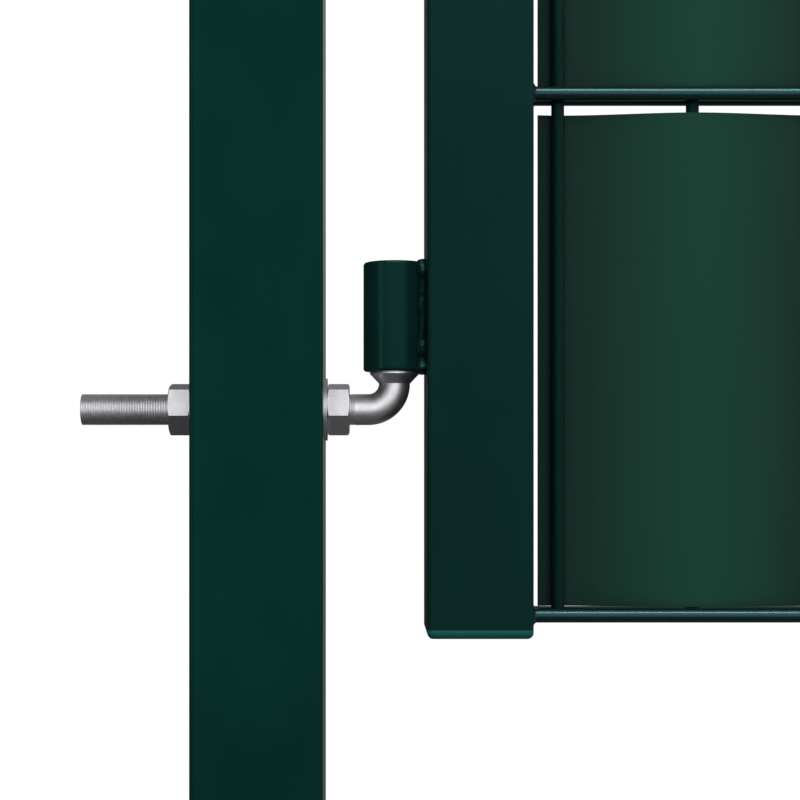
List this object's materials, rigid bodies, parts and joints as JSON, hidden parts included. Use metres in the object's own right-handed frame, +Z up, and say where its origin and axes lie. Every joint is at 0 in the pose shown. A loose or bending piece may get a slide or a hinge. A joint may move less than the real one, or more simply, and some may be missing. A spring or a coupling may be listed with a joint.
{
  "type": "hinged mesh gate",
  "caption": "Square-post garden gate with a hinged leaf of welded double-wire mesh, woven privacy strips, lever lock and adjustable bolt hinges.",
  "frame": {"origin": "centre of the hinge post's foot, where the post stands in its footing", "axes": "+X along the closed gate from the hinge post to the latch post, +Y to the rear, the side the leaf opens to, +Z up"},
  "size_m": [1.0795, 0.138, 1.504],
  "materials": {
    "post_paint": "glossy dark green powder coat",
    "stile_paint": "glossy dark green powder coat",
    "wire_paint": "glossy dark green powder coat",
    "strip_pvc": "matt green PVC",
    "cap_plastic": "satin green plastic",
    "zinc": "zinc plated",
    "plain_steel": "satin steel",
    "lever_finish": "satin aluminium",
    "cylinder_brass": "satin nickel on brass"
  },
  "bodies": {
    "posts": {"hinge_post": "post_paint", "latch_post": "post_paint", "hinge_post_cap": "cap_plastic", "latch_post_cap": "cap_plastic", "lower_hinge_bolt": "zinc", "upper_hinge_bolt": "zinc", "hinge_nuts": "zinc", "hinge_washers": "zinc", "strike_plate": "plain_steel", "strike_screws": "plain_steel"},
    "leaf": {"hinge_stile": "stile_paint", "latch_stile": "stile_paint", "hinge_stile_bottom_cap": "cap_plastic", "hinge_stile_top_cap": "cap_plastic", "latch_stile_bottom_cap": "cap_plastic", "latch_stile_top_cap": "cap_plastic", "mesh_front_wires": "wire_paint", "mesh_rear_wires": "wire_paint", "mesh_upright_wires": "wire_paint", "privacy_strip_1": "strip_pvc", "privacy_strip_2": "strip_pvc", "privacy_strip_3": "strip_pvc", "privacy_strip_4": "strip_pvc", "privacy_strip_5": "strip_pvc", "lower_hinge_sleeve": "stile_paint", "upper_hinge_sleeve": "stile_paint", "lower_sleeve_weld": "stile_paint", "upper_sleeve_weld": "stile_paint", "lock_case": "plain_steel", "lock_cover": "plain_steel", "lock_faceplate": "plain_steel", "faceplate_screws": "plain_steel", "front_handle_plate": "lever_finish", "rear_handle_plate": "lever_finish", "handle_screws": "plain_steel", "cylinder_housing": "cylinder_brass", "cylinder_screw": "plain_steel", "latch_spring": "plain_steel"},
    "handle": {"front_lever": "lever_finish", "rear_lever": "lever_finish", "handle_spindle": "plain_steel", "lock_follower": "plain_steel"},
    "latch": {"latch_bolt": "plain_steel"},
    "dead_bolt": {"dead_bolt": "plain_steel"},
    "key_core": {"front_plug": "cylinder_brass", "rear_plug": "cylinder_brass", "cylinder_cam": "cylinder_brass"}
  },
  "joints": [
    {"name": "gate_swing", "type": "hinge", "parent": "posts", "child": "leaf", "pos_m": [0.052, 0, 0.6], "axis": [0, 0, 1], "range_deg": [0, 90]},
    {"name": "handle_turn", "type": "hinge", "parent": "leaf", "child": "handle", "pos_m": [0.926, 0, 1.1419], "axis": [0, -1, 0], "range_deg": [0, 40], "stiffness_Nm_per_rad": 1.2, "springref_deg": -34.38},
    {"name": "latch_slide", "type": "slide", "parent": "leaf", "child": "latch", "axis": [-1, 0, 0], "range_m": [0, 0.0101], "deforming": ["latch_spring"]},
    {"name": "key_turn", "type": "hinge", "parent": "leaf", "child": "key_core", "pos_m": [0.926, 0, 1.0699], "axis": [0, 1, 0], "range_deg": [0, 360]},
    {"name": "dead_bolt_slide", "type": "slide", "parent": "leaf", "child": "dead_bolt", "axis": [1, 0, 0], "range_m": [0, 0.02]}
  ],
  "couplings": [
    {"joint": "latch_slide", "follows": "handle_turn", "m_per_rad": 0.0143},
    {"joint": "key_turn", "follows": "dead_bolt_slide", "rad_per_m": 314.16}
  ]
}
